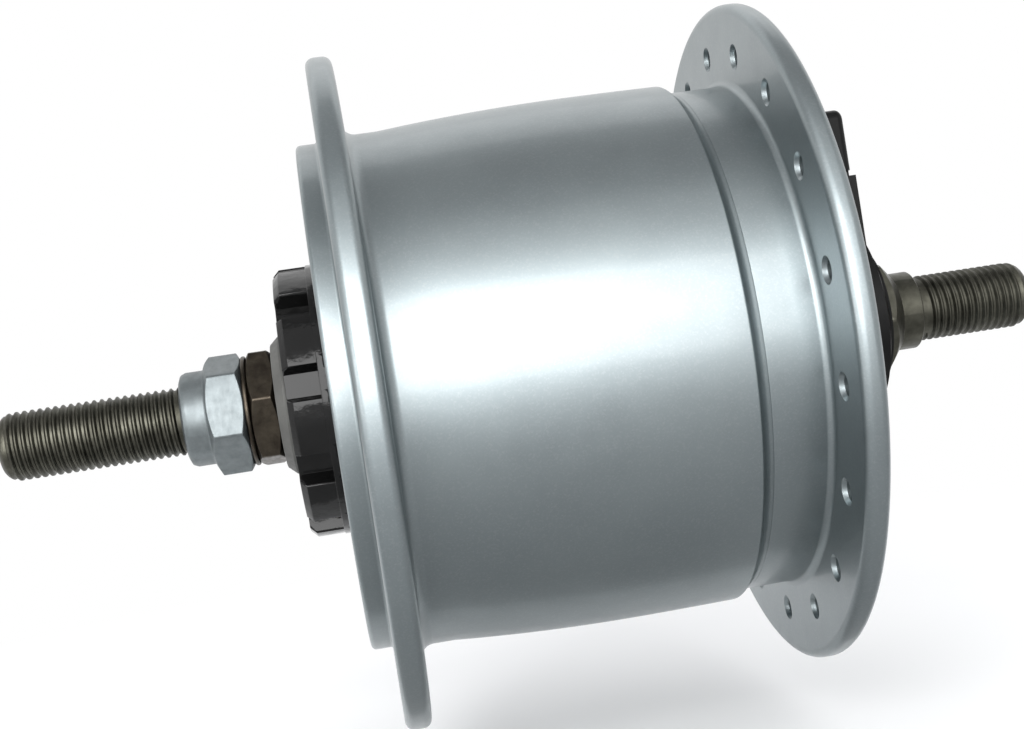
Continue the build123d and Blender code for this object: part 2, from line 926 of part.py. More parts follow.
def make_live_terminal():
    """Blade with a foot that the end of the lead meets."""
    foot_width = terminal_offset + terminal_thick / 2 + lead_radius
    foot = upright_box(
        foot_width,
        terminal_front_y,
        terminal_back_y,
        terminal_foot_height,
        terminal_foot_height + terminal_thick,
        x=foot_width / 2 - lead_radius,
    )
    return terminal_blade(1) + foot


def make_earth_terminal():
    """Blade with a tail that stands on the slotted spacer."""
    edge = terminal_offset - terminal_thick / 2
    seat_height = sqrt(right_spacer_radius ** 2 - edge ** 2) + press_gap
    tail = upright_box(
        terminal_thick, terminal_front_y, cone_lock_nut_y - press_gap,
        seat_height, terminal_foot_height, x=-terminal_offset,
    )
    return tail + terminal_blade(-1)


def make_lead():
    """Insulated wire: out of the coil, down to the axle's groove, up to the live terminal."""
    bobbin_end_y = bobbin_ends()[1]
    route = [
        (0, bobbin_end_y + press_gap, lead_start_height),
        (0, stator_nut_end_y, lead_start_height),
        (0, stator_nut_end_y + lead_rise_length, lead_groove_height),
        (0, lead_exit_y, lead_groove_height),
        (0, lead_exit_y, terminal_foot_height - press_gap),
    ]
    path = FilletPolyline(*route, radius=[lead_bend_radius, lead_bend_radius, lead_turn_radius])
    start = Plane(origin=route[0], z_dir=(0, 1, 0))
    return sweep(start * Circle(lead_radius), path=path)


parts = {
    "axle": make_axle(),
    "hub_shell": make_hub_shell(),
    "end_flange": make_end_flange(),
    "brake_spline_ring": make_brake_spline(),
    "left_ball_cup": make_cup(left_ball_y, left_cup_seat_y, -1),
    "left_dust_cap": make_dust_cap(left_cup_mouth_y, -1),
    "left_balls": make_balls(left_ball_y),
    "left_ball_cage": make_cage(left_ball_y, -1),
    "left_cone": make_left_cone(),
    "left_dust_seal": make_seal(left_seal_y, -1),
    "left_lock_washer": make_left_washer(),
    "left_lock_nut": make_left_lock_nut(),
    "right_ball_cup": make_cup(right_ball_y, right_cup_seat_y, 1),
    "right_dust_cap": make_dust_cap(right_cup_mouth_y, 1),
    "right_balls": make_balls(right_ball_y),
    "right_ball_cage": make_cage(right_ball_y, 1),
    "right_cone": make_right_cone(),
    "right_dust_seal": make_seal(right_seal_y, 1),
    "slotted_spacer": make_right_spacer(),
    "cone_lock_nut": make_cone_lock_nut(),
    "right_lock_nut": make_right_lock_nut(),
    "magnet_yoke": make_yoke(),
    "magnet_segments": make_magnets(),
    "left_claw_plate": make_claw_plate(stator_left_y, 1, 0),
    "right_claw_plate": make_right_claw_plate(),
    "stator_core": make_stator_core(),
    "coil_bobbin": make_bobbin(),
    "coil_winding": make_coil(),
    "stator_washers": make_stator_washers(),
    "stator_nuts": make_stator_nuts(),
    "connector_cap": make_connector_cap(),
    "live_terminal": make_live_terminal(),
    "earth_terminal": make_earth_terminal(),
    "lead": make_lead(),
}

os.makedirs("parts", exist_ok=True)
for name, shape in parts.items():
    export_step(shape, f"parts/{name}.step")

print("between lock faces", round(right_face_y - left_face_y, 3))
print("lead volume", round(parts["lead"].volume, 2))
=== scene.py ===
from math import acos, cos, pi, radians, sin, sqrt, tan

import bmesh
import bpy
from mathutils import Matrix, Vector


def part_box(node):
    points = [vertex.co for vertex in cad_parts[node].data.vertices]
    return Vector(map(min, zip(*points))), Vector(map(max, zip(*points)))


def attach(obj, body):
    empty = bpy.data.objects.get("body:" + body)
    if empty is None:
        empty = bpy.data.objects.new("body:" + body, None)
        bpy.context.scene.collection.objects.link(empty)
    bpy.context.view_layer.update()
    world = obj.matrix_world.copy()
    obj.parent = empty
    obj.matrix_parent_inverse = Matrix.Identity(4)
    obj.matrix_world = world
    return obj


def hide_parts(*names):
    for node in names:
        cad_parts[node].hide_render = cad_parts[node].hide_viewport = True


# Hub dynamo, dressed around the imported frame. The axle lies along Y, +Z is up, +X faces the camera.
# Lengths in the dictionaries are millimetres and angles are degrees, unless a note says otherwise.

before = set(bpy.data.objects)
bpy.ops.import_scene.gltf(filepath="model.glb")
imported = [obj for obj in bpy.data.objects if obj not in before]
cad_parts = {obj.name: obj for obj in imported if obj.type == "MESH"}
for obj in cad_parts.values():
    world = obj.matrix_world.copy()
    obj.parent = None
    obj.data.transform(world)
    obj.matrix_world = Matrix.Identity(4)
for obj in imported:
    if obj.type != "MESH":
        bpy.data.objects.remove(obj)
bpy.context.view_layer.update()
mm = 0.001
weldDistance = 1e-7  # metres
print("frame loaded,", len(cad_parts), "nodes")


# Mesh tools

def ringAngles(count):
    return [2 * pi * index / count for index in range(count)]


def boxSpan(node):
    # Left and right ends of a node along the axle, in mm
    low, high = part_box(node)
    return low.y / mm, high.y / mm


def outerRadius(node):
    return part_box(node)[1].x / mm


def polarPoint(radius, y, angle):
    # Angles run from +Z towards +X
    return radius * sin(angle) * mm, y * mm, radius * cos(angle) * mm


def addObject(name, data):
    made = bpy.data.objects.new(name, data)
    bpy.context.scene.collection.objects.link(made)
    return made


def meshFrom(bm, name):
    mesh = bpy.data.meshes.new(name)
    bm.to_mesh(mesh)
    bm.free()
    return mesh


def weld(bm):
    bmesh.ops.remove_doubles(bm, verts=bm.verts, dist=weldDistance)
    bmesh.ops.dissolve_degenerate(bm, dist=weldDistance, edges=bm.edges)


def finishMesh(bm, name):
    weld(bm)
    bmesh.ops.recalc_face_normals(bm, faces=bm.faces)
    return meshFrom(bm, name)


def polarMesh(name, rows, angles):
    # Closed skin about the axle. A row is (radius, y), or a function of the angle that gives them,
    # and the last row joins the first.
    bm = bmesh.new()
    rings = []
    for row in rows:
        ring = []
        for angle in angles:
            radius, y = row(angle) if callable(row) else row
            ring.append(bm.verts.new(polarPoint(radius, y, angle)))
        rings.append(ring)
    for index, ring in enumerate(rings):
        following = rings[(index + 1) % len(rings)]
        for step in range(len(ring)):
            after = (step + 1) % len(ring)
            bm.faces.new((ring[step], ring[after], following[after], following[step]))
    return finishMesh(bm, name)


def roundedLine(corners, steps):
    # Closed (radius, y) line from (radius, y, rounding) corners, with steps faces in each rounding
    line = []
    for index, (radius, y, rounding) in enumerate(corners):
        here = Vector((radius, y))
        if not rounding:
            line.append((radius, y))
            continue
        back = (Vector(corners[index - 1][:2]) - here).normalized()
        ahead = (Vector(corners[(index + 1) % len(corners)][:2]) - here).normalized()
        half = back.angle(ahead) / 2
        centre = here + (back + ahead).normalized() * rounding / sin(half)
        start = here + back * rounding / tan(half) - centre
        end = here + ahead * rounding / tan(half) - centre
        sweep = start.angle_signed(end)
        for step in range(steps + 1):
            spoke = start.copy()
            spoke.rotate(Matrix.Rotation(-sweep * step / steps, 2))
            line.append(tuple(centre + spoke))
    return line


def softenEdges(mesh, width, overAngle, segments=2):
    # Bevel every edge that turns by more than overAngle degrees
    bm = bmesh.new()
    bm.from_mesh(mesh)
    sharp = [
        edge for edge in bm.edges
        if len(edge.link_faces) == 2 and edge.calc_face_angle(0) > radians(overAngle)
    ]
    bmesh.ops.bevel(
        bm, geom=sharp, offset=width * mm, segments=segments, profile=0.5, affect="EDGES",
        clamp_overlap=True,
    )
    bm.to_mesh(mesh)
    bm.free()
    return mesh


def combined(base, tool, operation):
    # Union or difference of two meshes as a new mesh
    holders = [addObject("holder", mesh) for mesh in (base, tool)]
    boolean = holders[0].modifiers.new("cut", "BOOLEAN")
    boolean.operation = operation
    boolean.solver = "EXACT"
    boolean.object = holders[1]
    shown = holders[0].evaluated_get(bpy.context.evaluated_depsgraph_get())
    made = bpy.data.meshes.new_from_object(shown)
    for holder in holders:
        bpy.data.objects.remove(holder)
    return made


def boxMesh(low, high):
    bm = bmesh.new()
    bmesh.ops.create_cube(bm, size=1)
    for vert in bm.verts:
        vert.co = Vector(
            (start + (end - start) * (place + 0.5)) * mm
            for start, end, place in zip(low, high, vert.co)
        )
    return meshFrom(bm, "box")


def addPiece(name, mesh, body, slotName, replaced, sharpAngle=32):
    # Edges over sharpAngle degrees stay crisp in the shading
    mesh.shade_smooth()
    mesh.set_sharp_from_angle(angle=radians(sharpAngle))
    mesh.materials.clear()
    mesh.materials.append(finishes[slotName])
    piece = addObject(name, mesh)
    normals = piece.modifiers.new("evenNormals", "WEIGHTED_NORMAL")
    normals.keep_sharp = True
    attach(piece, body)
    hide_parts(replaced)


# Material tools

noiseRange = (0.3, 0.7)  # where most of a noise texture's values lie


def newMaterial(name):
    material = bpy.data.materials.new(name)
    material.use_nodes = True
    return material, material.node_tree, material.node_tree.nodes["Principled BSDF"]


def addNode(tree, kind, inputs=None, **settings):
    node = tree.nodes.new(kind)
    for key, value in settings.items():
        setattr(node, key, value)
    for key, value in (inputs or {}).items():
        if isinstance(value, bpy.types.NodeSocket):
            tree.links.new(value, node.inputs[key])
        else:
            node.inputs[key].default_value = value
    return node


def objectCoords(tree):
    return addNode(tree, "ShaderNodeTexCoord").outputs["Object"]


def noiseOf(tree, coords, scale, detail=3.0, rough=0.5):
    node = addNode(
        tree, "ShaderNodeTexNoise",
        {"Vector": coords, "Scale": scale, "Detail": detail, "Roughness": rough},
    )
    return node.outputs["Fac"]


def remap(tree, value, low, high, newLow, newHigh):
    node = addNode(
        tree, "ShaderNodeMapRange",
        {"Value": value, "From Min": low, "From Max": high, "To Min": newLow, "To Max": newHigh},
    )
    return node.outputs["Result"]


def mixColour(tree, factor, first, second):
    node = addNode(tree, "ShaderNodeMix", data_type="RGBA")
    tree.links.new(factor, node.inputs["Factor"])
    for key, value in (("A", first), ("B", second)):
        socket = next(entry for entry in node.inputs if entry.name == key and entry.type == "RGBA")
        if isinstance(value, bpy.types.NodeSocket):
            tree.links.new(value, socket)
        else:
            socket.default_value = (*value, 1)
    return next(entry for entry in node.outputs if entry.type == "RGBA")


def aroundAxle(tree, coords):
    # Radius, turn and place along the axle as a vector, so that marks can run round the axle
    parts = addNode(tree, "ShaderNodeSeparateXYZ", {"Vector": coords})
    turn = addNode(
        tree, "ShaderNodeMath", {0: parts.outputs["X"], 1: parts.outputs["Z"]}, operation="ARCTAN2"
    )
    flat = addNode(tree, "ShaderNodeCombineXYZ", {"X": parts.outputs["X"], "Y": parts.outputs["Z"]})
    radius = addNode(tree, "ShaderNodeVectorMath", {0: flat.outputs["Vector"]}, operation="LENGTH")
    return addNode(
        tree, "ShaderNodeCombineXYZ",
        {"X": radius.outputs["Value"], "Y": parts.outputs["Y"], "Z": turn.outputs["Value"]},
    ).outputs["Vector"]


def addBump(tree, shader, height, distance, strength):
    bump = addNode(
        tree, "ShaderNodeBump", {"Height": height, "Distance": distance, "Strength": strength}
    )
    tree.links.new(bump.outputs["Normal"], shader.inputs["Normal"])


# Finishes

silverPaintLook = {
    "bright": (0.25, 0.285, 0.295),
    "dull": (0.23, 0.263, 0.274),
    "flake": (0.3, 0.33, 0.34),
    "rough": (0.385, 0.425),
    "cloudScale": 70,
    "flakeScale": 5200.0,
    "flakeStart": 0.55,
    "flakeShare": 0.5,
    "smearScale": 260,
    "skinScale": 900,
    "skinHeight": 0.00002,
    "skinStrength": 0.35,
    "coatWeight": 0.35,
    "coatRough": 0.12,
}


def silverPaint():
    look = silverPaintLook
    material, tree, shader = newMaterial("silverPaint")
    coords = objectCoords(tree)
    cloud = remap(tree, noiseOf(tree, coords, look["cloudScale"]), *noiseRange, 0, 1)
    flakes = addNode(tree, "ShaderNodeTexVoronoi", {"Vector": coords, "Scale": look["flakeScale"]})
    glint = remap(tree, flakes.outputs["Color"], look["flakeStart"], 1.0, 0, look["flakeShare"])
    body = mixColour(tree, cloud, look["dull"], look["bright"])
    tree.links.new(mixColour(tree, glint, body, look["flake"]), shader.inputs["Base Color"])
    smear = noiseOf(tree, coords, look["smearScale"], detail=5.0)
    tree.links.new(remap(tree, smear, *noiseRange, *look["rough"]), shader.inputs["Roughness"])
    shader.inputs["Metallic"].default_value = 1.0
    shader.inputs["Coat Weight"].default_value = look["coatWeight"]
    shader.inputs["Coat Roughness"].default_value = look["coatRough"]
    skin = noiseOf(tree, coords, look["skinScale"], detail=2.0)
    addBump(tree, shader, skin, look["skinHeight"], look["skinStrength"])
    return material


metalLook = {
    "cloudRange": (0.32, 0.68),
    "cloudRough": 0.65,
    "markScale": 1800,
    "markStrength": 0.6,
}


def metalFinish(name, dark, light, roughLow, roughHigh, grain, streak, bump, metallic=1.0):
    # Metal with cloudy colour and fine marks; a low streak draws the marks out round the axle
    material, tree, shader = newMaterial(name)
    coords = objectCoords(tree)
    turned = addNode(
        tree, "ShaderNodeMapping",
        {"Vector": aroundAxle(tree, coords), "Scale": (1.0, 1.0, streak)},
    ).outputs["Vector"]
    haze = noiseOf(tree, coords, grain, detail=5.0, rough=metalLook["cloudRough"])
    cloud = remap(tree, haze, *metalLook["cloudRange"], 0, 1)
    tree.links.new(mixColour(tree, cloud, dark, light), shader.inputs["Base Color"])
    marks = noiseOf(tree, turned, metalLook["markScale"], detail=4.0)
    tree.links.new(remap(tree, marks, *noiseRange, roughLow, roughHigh), shader.inputs["Roughness"])
    shader.inputs["Metallic"].default_value = metallic
    addBump(tree, shader, marks, bump, metalLook["markStrength"])
    return material


plasticLook = {"cloudScale": 160, "skinStrength": 0.5}


def plasticFinish(name, dark, light, roughLow, roughHigh, grain, bump, gloss=0.5):
    material, tree, shader = newMaterial(name)
    shader.inputs["Specular IOR Level"].default_value = gloss
    coords = objectCoords(tree)
    cloud = remap(tree, noiseOf(tree, coords, plasticLook["cloudScale"]), *noiseRange, 0, 1)
    tree.links.new(mixColour(tree, cloud, dark, light), shader.inputs["Base Color"])
    skin = noiseOf(tree, coords, grain, detail=4.0)
    tree.links.new(remap(tree, skin, *noiseRange, roughLow, roughHigh), shader.inputs["Roughness"])
    addBump(tree, shader, skin, bump, plasticLook["skinStrength"])
    return material


# Both kinds take a name, a dark and a light colour, lowest and highest roughness and the grain's
# scale. Then a metal takes its streak, bump height in metres and, unless it is 1, metallic share;
# a plastic takes its bump height in metres and, unless it is 0.5, its gloss.
finishes = {
    "silver_paint": silverPaint(),
    "axle_steel": metalFinish(
        "blackenedAxle", (0.045, 0.044, 0.035), (0.1, 0.098, 0.08), 0.34, 0.52, 420, 0.002, 0.00001
    ),
    "dark_steel": metalFinish(
        "brownOxide", (0.04, 0.033, 0.026), (0.085, 0.072, 0.055), 0.3, 0.45, 500, 0.002, 0.000008
    ),
    "zinc_steel": metalFinish(
        "zincPlate", (0.128, 0.145, 0.15), (0.178, 0.199, 0.205), 0.38, 0.48, 600,
        0.002, 0.000006, 0.8
    ),
    "olive_steel": metalFinish(
        "olivePlate", (0.055, 0.054, 0.043), (0.1, 0.098, 0.08), 0.28, 0.42, 500, 0.002, 0.000008
    ),
    "black_spline": plasticFinish(
        "glossBlackCoat", (0.002, 0.002, 0.002), (0.004, 0.004, 0.004), 0.08, 0.16, 420,
        0.00022, 0.3
    ),
    "black_plastic": plasticFinish(
        "mouldedPlastic", (0.003, 0.003, 0.003), (0.007, 0.007, 0.007), 0.3, 0.42, 2600,
        0.000012, 0.14
    ),
    "grey_seal": plasticFinish(
        "sealRubber", (0.05, 0.05, 0.048), (0.085, 0.085, 0.08), 0.42, 0.6, 1800, 0.00001, 0.3
    ),
    "bearing_steel": metalFinish(
        "groundSteel", (0.42, 0.42, 0.41), (0.55, 0.55, 0.54), 0.2, 0.32, 700, 0.002, 0.000004
    ),
    "stator_steel": metalFinish(
        "bareSteel", (0.3, 0.31, 0.32), (0.42, 0.43, 0.44), 0.35, 0.5, 500, 0.01, 0.000008
    ),
    "dust_cap_steel": metalFinish(
        "pressedSteel", (0.34, 0.35, 0.35), (0.5, 0.51, 0.51), 0.25, 0.38, 500, 0.002, 0.000006
    ),
    "ball_steel": metalFinish(
        "polishedBalls", (0.7, 0.7, 0.7), (0.8, 0.8, 0.8), 0.05, 0.1, 300, 1.0, 0.000001
    ),
    "copper_wire": metalFinish(
        "woundCopper", (0.5, 0.2, 0.09), (0.75, 0.36, 0.18), 0.25, 0.4, 800, 0.0005, 0.00003
    ),
    "terminal_brass": metalFinish(
        "plainBrass", (0.62, 0.46, 0.2), (0.75, 0.58, 0.28), 0.22, 0.36, 600, 0.1, 0.000005
    ),
    "bobbin_plastic": plasticFinish(
        "naturalNylon", (0.62, 0.58, 0.47), (0.72, 0.68, 0.57), 0.4, 0.55, 1500, 0.00001
    ),
    "lead_sleeve": plasticFinish(
        "redSleeve", (0.35, 0.02, 0.015), (0.45, 0.035, 0.025), 0.35, 0.5, 1500, 0.000005
    ),
    "ferrite": plasticFinish(
        "ferrite", (0.02, 0.02, 0.022), (0.045, 0.045, 0.048), 0.55, 0.75, 1200, 0.00002
    ),
}
print("finishes made,", len(finishes))


# Axle: rolled thread on both free ends, rounded tips, groove for the lead

axleSizes = {
    "pitch": 1.0,
    "threadDepth": 0.34,
    "rightThreadDepth": 0.3,
    "tipRound": 2.1,
    "columns": 56,
    "innerRadius": 4.175,
    "leftThreadEnd": -46.5,
    "rightThreadStart": 55.0,
    "grooveWidth": 1.8,
    "grooveFloor": 2.8,
    "grooveStart": 17.2,
    "grooveEnd": 43.64,
    "overrun": 1.0,
    "sharpAngle": 38,
}
# One turn of thread: where its rings of points lie, and what share of the depth each is sunk
threadShares = (0.14, 0.42, 0.58, 0.86)
threadSunk = (1, 0, 0, 1)


def axleRadius(y, part, startY, endY, crest):
    # Thread, plain middle or rounded tip at this place along the axle
    size = axleSizes
    radius = crest - threadSunk[part] * size["threadDepth" if y < 0 else "rightThreadDepth"]
    if size["leftThreadEnd"] < y < size["rightThreadStart"]:
        radius = size["innerRadius"]
    fromTip = min(y - startY, endY - y)
    if fromTip < size["tipRound"]:
        inside = size["tipRound"] - fromTip
        arc = crest - size["tipRound"] + sqrt(max(size["tipRound"] ** 2 - inside ** 2, 0))
        radius = min(radius, arc)
    return radius


def axleMesh():
    # Each ring climbs by one pitch, so its end joins the start of the ring one turn on
    size = axleSizes
    startY, endY = boxSpan("axle")
    crest = outerRadius("axle")
    pitch, columns = size["pitch"], size["columns"]
    shift = len(threadShares)
    turns = int((endY - startY) / pitch) + 2
    bm = bmesh.new()
    grid = []
    for row in range(-shift, turns * shift):
        turn, part = divmod(row, shift)
        ring = []
        for column in range(columns):
            along = startY + (turn + threadShares[part] + column / columns) * pitch
            y = min(max(along, startY), endY)
            radius = axleRadius(y, part, startY, endY, crest)
            ring.append(bm.verts.new(polarPoint(radius, y, 2 * pi * column / columns)))
        grid.append(ring)
    for row in range(len(grid) - 1):
        for column in range(columns):
            if column < columns - 1:
                far = (grid[row][column + 1], grid[row + 1][column + 1])
            elif row + 1 + shift < len(grid):
                far = (grid[row + shift][0], grid[row + 1 + shift][0])
            else:
                far = (grid[-1][0], grid[-1][0])
            corners = (grid[row][column], far[0], far[1], grid[row + 1][column])
            if len(set(corners)) == 4:
                bm.faces.new(corners)
    weld(bm)
    rims = [edge for edge in bm.edges if edge.is_boundary]
    bmesh.ops.holes_fill(bm, edges=rims)
    half = size["grooveWidth"] / 2
    groove = boxMesh(
        (-half, size["grooveStart"], size["grooveFloor"]),
        (half, size["grooveEnd"], crest + size["overrun"]),
    )
    return combined(finishMesh(bm, "axleSkin"), groove, "DIFFERENCE")


addPiece(
    "threaded_axle", axleMesh(), "axle_assembly", "axle_steel", "axle", axleSizes["sharpAngle"]
)
print("axle made")


# Hexagon nuts: corners are cut by a cone at each face, so each flat ends in a curve

nutSizes = {
    "cornerCut": 0.12,
    "edgeSoft": 0.09,
    "faceSlope": 0.5,
    "threadBore": 4.2,
    "boreChamfer": 0.42,
    "stepsPerFlat": 9,
}


def hexRadius(size, angle):
    # Distance from the axle to the hexagon, whose sharp corners lose cornerCut
    nearest = (angle - radians(size["turn"]) + pi / 6) % (pi / 3) - pi / 6
    flat = pi / 6 - abs(nearest)
    corner = size["acrossFlats"] / sqrt(3) - nutSizes["cornerCut"]
    return min(size["acrossFlats"] / 2 / cos(flat), corner)


def hexAngles(size):
    # Columns over each flat, with one more on each cut corner
    steps = nutSizes["stepsPerFlat"]
    corner = size["acrossFlats"] / sqrt(3) - nutSizes["cornerCut"]
    flatEdge = acos(size["acrossFlats"] / 2 / corner)
    angles = []
    for side in range(6):
        cornerAngle = radians(size["turn"]) + side * pi / 3
        for step in range(steps + 1):
            angles.append(cornerAngle + pi / 6 + flatEdge * (2 * step / steps - 1))
        angles.append(cornerAngle)
    return sorted(angle % (2 * pi) for angle in angles)


def coneEnd(size, faceY, inward, faceRadius, slope):
    # Row where a cone from the face circle meets the side of the hexagon
    def row(angle):
        side = hexRadius(size, angle)
        return side, faceY + inward * max(side - faceRadius, 0) * slope
    return row


def hexRows(size, startY, endY, startFace, endFace, endSlope=nutSizes["faceSlope"]):
    # Rows from the flat ring in one face of the hexagon to the flat ring in the other
    return [
        (startFace, startY),
        coneEnd(size, startY, 1, startFace, nutSizes["faceSlope"]),
        coneEnd(size, endY, -1, endFace, endSlope),
        (endFace, endY),
    ]


leftNutSizes = {
    "acrossFlats": 14.0,
    "turn": 50.0,
    "collarRadius": 6.25,
    "collarLength": 3.4,
    "collarRound": 0.9,
    "arcShare": 0.3,
    "rootLength": 0.25,
    "rootRise": 0.2,
    "faceRadius": 6.75,
    "softAngle": 34,
}


def softNut(name, rows, size):
    mesh = polarMesh(name, rows, hexAngles(size))
    return softenEdges(mesh, nutSizes["edgeSoft"], size["softAngle"])


def leftNutMesh():
    size = leftNutSizes
    faceY, backY = boxSpan("left_lock_nut")
    hexY = faceY + size["collarLength"]
    bore, chamfer = nutSizes["threadBore"], nutSizes["boreChamfer"]
    collar = size["collarRadius"]
    rounding = size["collarRound"]
    arc = rounding * size["arcShare"]
    rows = [
        (bore, faceY + chamfer),
        (bore + chamfer, faceY),
        (collar - rounding, faceY),
        (collar - arc, faceY + arc),
        (collar, faceY + rounding),
        (collar, hexY - size["rootLength"]),
        (collar + size["rootRise"], hexY),
        *hexRows(size, hexY, backY, size["faceRadius"], size["faceRadius"]),
        (bore + chamfer, backY),
        (bore, backY - chamfer),
    ]
    return softNut("leftNutSkin", rows, size)


addPiece("collar_lock_nut", leftNutMesh(), "axle_assembly", "zinc_steel", "left_lock_nut")

leftConeSizes = {
    "acrossFlats": 14.0,
    "turn": 80.0,
    "hexLength": 3.5,
    "faceRadius": 6.8,
    "innerFace": 6.9,
    "neckRadius": 7.2,
    "shoulderRadius": 8.6,
    "shoulder": 0.65,
    "noseRadius": 6.14,
    "noseLength": 3.2,
    "raceRadius": 2.46,
    "raceSteps": 6,
    "softAngle": 40,
}


def leftConeMesh():
    size = leftConeSizes
    washerY, noseY = boxSpan("left_cone")
    hexEndY = washerY + size["hexLength"]
    ballY = noseY - size["noseLength"]
    raceY = ballY - size["raceRadius"]
    bore = nutSizes["threadBore"]
    race = []
    for step in range(size["raceSteps"] + 1):
        turn = radians(90 + 90 * step / size["raceSteps"])
        race.append((
            size["shoulderRadius"] + size["raceRadius"] * cos(turn),
            ballY - size["raceRadius"] * sin(turn),
        ))
    rows = [
        (bore, washerY),
        *hexRows(size, washerY, hexEndY, size["faceRadius"], size["innerFace"]),
        (size["neckRadius"], hexEndY),
        (size["neckRadius"], raceY - size["shoulder"]),
        (size["shoulderRadius"], raceY - size["shoulder"]),
        *race,
        (size["noseRadius"], noseY),
        (bore, noseY),
    ]
    return softNut("leftConeSkin", rows, size)


addPiece("bearing_cone", leftConeMesh(), "axle_assembly", "dark_steel", "left_cone")

rightNutSizes = {
    "acrossFlats": 14.0,
    "turn": 38.0,
    "backFace": 6.9,
    "collarRadius": 5.35,
    "collarLength": 2.9,
    "slopeLength": 2.2,
    "collarRound": 0.15,
    "softAngle": 25,
}


def rightNutMesh():
    # The corners slope down to the collar that bears on the fork end
    size = rightNutSizes
    backY, faceY = boxSpan("right_lock_nut")
    collarY = faceY - size["collarLength"]
    collar = size["collarRadius"]
    slope = size["slopeLength"] / (size["acrossFlats"] / sqrt(3) - collar)
    bore, chamfer = nutSizes["threadBore"], nutSizes["boreChamfer"]
    rows = [
        (bore, backY + chamfer),
        (bore + chamfer, backY),
        *hexRows(size, backY, collarY, size["backFace"], collar, slope),
        (collar, faceY - size["collarRound"]),
        (collar - size["collarRound"], faceY),
        (bore + chamfer, faceY),
        (bore, faceY - chamfer),
    ]
    return softNut("rightNutSkin", rows, size)


addPiece("outer_lock_nut", rightNutMesh(), "axle_assembly", "olive_steel", "right_lock_nut")
print("nuts and cone made")


# Plain turned trim on the axle

trimSizes = {
    "washerRadius": 7.3,
    "washerRound": 0.25,
    "sealBore": 7.25,
    "sealEdge": 8.2,
    "sealEdgeRound": 0.18,
    "sealRim": 9.2,
    "sealRimLength": 0.4,
    "sealRimRound": 0.12,
    "columns": 96,
    "roundSteps": 3,
}


def addTrim(name, node, slotName, corners):
    line = roundedLine(corners, trimSizes["roundSteps"])
    mesh = polarMesh(name + "Skin", line, ringAngles(trimSizes["columns"]))
    addPiece(name, mesh, "axle_assembly", slotName, node)


def makeTrim():
    size = trimSizes
    bore = nutSizes["threadBore"]
    startY, endY = boxSpan("left_lock_washer")
    addTrim("plain_lock_washer", "left_lock_washer", "dark_steel", [
        (bore, startY, 0),
        (size["washerRadius"], startY, size["washerRound"]),
        (size["washerRadius"], endY, size["washerRound"]),
        (bore, endY, 0),
    ])
    startY, endY = boxSpan("left_dust_seal")
    addTrim("left_seal_ring", "left_dust_seal", "grey_seal", [
        (size["sealBore"], startY, 0),
        (size["sealEdge"], startY, size["sealEdgeRound"]),
        (size["sealRim"], endY - size["sealRimLength"], size["sealRimRound"]),
        (size["sealRim"], endY, size["sealRimRound"]),
        (size["sealBore"], endY, 0),
    ])


makeTrim()
print("washer and seal made")


# Spoke holes, sunk at both faces of a flange

spokeSizes = {
    "circleRadius": 38.0,
    "holeRadius": 1.3,
    "sink": 0.4,
    "rimOut": 0.12,
    "rimDepth": 0.1,
    "rimEnd": 0.12,
    "mouthLift": 0.02,
    "overrun": 1,
    "count": 18,
    "rightPhase": 1.0,
    "columns": 28,
}


def spokeCutter(startY, endY, phase):
    # One tool for every hole of a flange; each hole widens at both faces
    size = spokeSizes
    hole, sink = size["holeRadius"], size["sink"]
    wide = hole + sink
    line = [
        (0, startY - size["overrun"]),
        (wide, startY - size["overrun"]),
        (wide, startY - size["mouthLift"]),
        (hole + size["rimOut"], startY + sink - size["rimDepth"]),
        (hole, startY + sink + size["rimEnd"]),
        (hole, endY - sink - size["rimEnd"]),
        (hole + size["rimOut"], endY - sink + size["rimDepth"]),
        (wide, endY + size["mouthLift"]),
        (wide, endY + size["overrun"]),
        (0, endY + size["overrun"]),
    ]
    one = polarMesh("spokeCutter", line, ringAngles(size["columns"]))
    bm = bmesh.new()
    for index in range(size["count"]):
        turn = radians(phase + 360 * index / size["count"])
        moved = one.copy()
        moved.transform(Matrix.Translation(polarPoint(size["circleRadius"], 0, turn)))
        bm.from_mesh(moved)
    return meshFrom(bm, "spokeCutters")


# Hub shell: left end wall, rim ring, left flange and the crowned barrel

shellSizes = {
    "flangeRadius": 44.3,
    "flangeThick": 3.4,
    "flangeInner": -20.3,
    "rimRound": 1.15,
    "rootRound": 1.7,
    "ringRadius": 33.5,
    "ringHeight": 2.8,
    "ringRound": 0.6,
    "ringLip": 2.6,
    "dishDepth": 1.2,
    "neckRadius": 34.0,
    "neckLength": 4.5,
    "crownRadius": 35.05,
    "crownY": 8.2,
    "mouthRadius": 34.92,
    "mouthEdgeRound": 0.35,
    "coveRadius": 33.98,
    "coveLength": 1.6,
    "coveDrop": 0.65,
    "coveRound": 1.2,
    "boreRadius": 31.6,
    "wallInner": -22.5,
    "bossRadius": 14.4,
    "cupRadius": 12.55,
    "cupSeat": -24.9,
    "seatHole": 9.5,
    "dishInner": 18.5,
    "columns": 288,
    "roundSteps": 6,
    "crownSteps": 14,
    "sharpAngle": 28,
}
shellRounds = {
    "bore": 0.3,
    "boss": 0.15,
    "dishInner": 0.3,
    "dishFloor": 0.5,
    "lip": 0.35,
    "ringRoot": 0.4,
    "coveEnd": 0.1,
}


